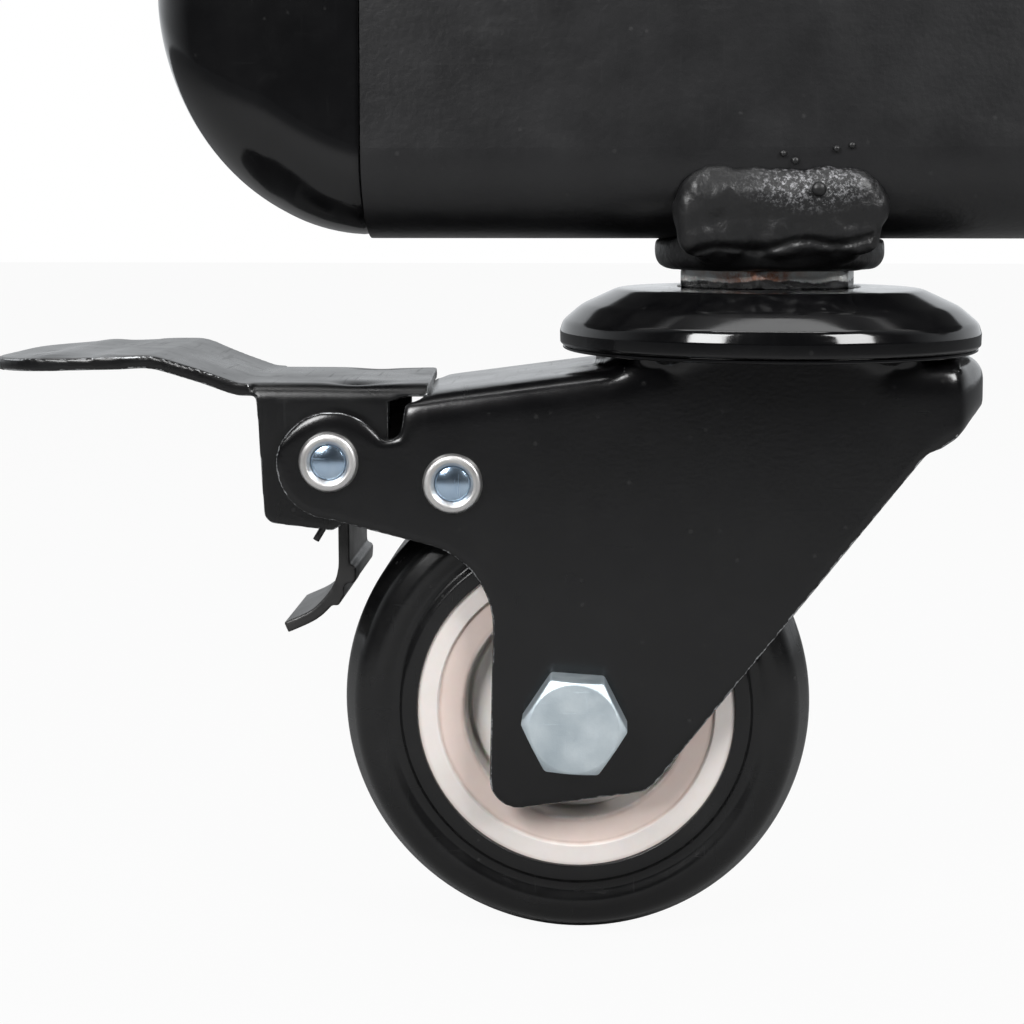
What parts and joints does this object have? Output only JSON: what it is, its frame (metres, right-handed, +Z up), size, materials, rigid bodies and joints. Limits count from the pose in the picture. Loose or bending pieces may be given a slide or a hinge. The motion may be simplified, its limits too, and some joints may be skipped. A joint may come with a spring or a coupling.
{
  "type": "braked swivel caster on a frame rail end",
  "caption": "Braked swivel caster with a rubber-like tyre, screwed by its stem into a bush welded under the capped end of a flat-sided frame rail.",
  "frame": {"origin": "centre of the frame rail's open end", "axes": "+X along the rail, out of its open end; +Z up; the axle bolt's head is on the -Y side"},
  "size_m": [0.1995, 0.0678, 0.192],
  "materials": {
    "rail_paint": "satin black powder coat",
    "cap_plastic": "glossy black",
    "gloss_paint": "gloss black paint",
    "fork_paint": "semi-gloss black powder coat",
    "bare_steel": "bare, lightly rusted",
    "bright_steel": "ground",
    "zinc_plate": "blue-white zinc plate",
    "rivet_steel": "rolled, plated",
    "spring_steel": "oiled black",
    "core_nylon": "off-white, moulded",
    "tyre_pu": "glossy black polyurethane"
  },
  "bodies": {
    "frame": {"frame_rail": "rail_paint", "end_cap": "cap_plastic", "weld_bush": "rail_paint", "bush_welds": "rail_paint", "threaded_stem": "bare_steel", "dust_cover": "gloss_paint", "dust_ring": "gloss_paint", "lower_race": "bare_steel", "swivel_nut": "bare_steel"},
    "upper_ball_ring": {"upper_balls": "bright_steel"},
    "lower_ball_ring": {"lower_balls": "bright_steel"},
    "swivel_fork": {"fork": "fork_paint", "axle_bolt": "zinc_plate", "axle_nut": "zinc_plate", "axle_sleeve": "bright_steel", "bearing_inner_rings": "bright_steel", "pivot_rivet": "rivet_steel", "pivot_core": "zinc_plate", "stop_rivet": "rivet_steel", "stop_core": "zinc_plate", "stop_spacers": "rivet_steel"},
    "wheel": {"wheel_core": "core_nylon", "tyre": "tyre_pu", "bearing_outer_rings": "bright_steel", "hub_caps": "core_nylon"},
    "wheel_ball_rings": {"bearing_balls": "bright_steel"},
    "brake": {"brake_pedal": "fork_paint", "brake_shoe": "spring_steel", "shoe_screws": "spring_steel", "brake_spring": "spring_steel"}
  },
  "joints": [
    {"name": "swivel", "type": "hinge", "parent": "frame", "child": "swivel_fork", "pos_m": [-0.075, 0, -0.1], "axis": [0, 0, 1], "continuous": true},
    {"name": "upper_ball_roll", "type": "hinge", "parent": "frame", "child": "upper_ball_ring", "pos_m": [-0.075, 0, -0.05], "axis": [0, 0, 1], "continuous": true},
    {"name": "lower_ball_roll", "type": "hinge", "parent": "frame", "child": "lower_ball_ring", "pos_m": [-0.075, 0, -0.06], "axis": [0, 0, 1], "continuous": true},
    {"name": "wheel_spin", "type": "hinge", "parent": "swivel_fork", "child": "wheel", "pos_m": [-0.1059, 0, -0.1145], "axis": [0, -1, 0], "continuous": true},
    {"name": "wheel_ball_roll", "type": "hinge", "parent": "swivel_fork", "child": "wheel_ball_rings", "pos_m": [-0.1059, 0, -0.1145], "axis": [0, -1, 0], "continuous": true},
    {"name": "brake_press", "type": "hinge", "parent": "swivel_fork", "child": "brake", "pos_m": [-0.1442, 0, -0.0745], "axis": [0, -1, 0], "range_deg": [0, 8]}
  ],
  "couplings": [
    {"joint": "upper_ball_roll", "follows": "swivel", "ratio": 0.5},
    {"joint": "lower_ball_roll", "follows": "swivel", "ratio": 0.5},
    {"joint": "wheel_ball_roll", "follows": "wheel_spin", "ratio": 0.6}
  ]
}
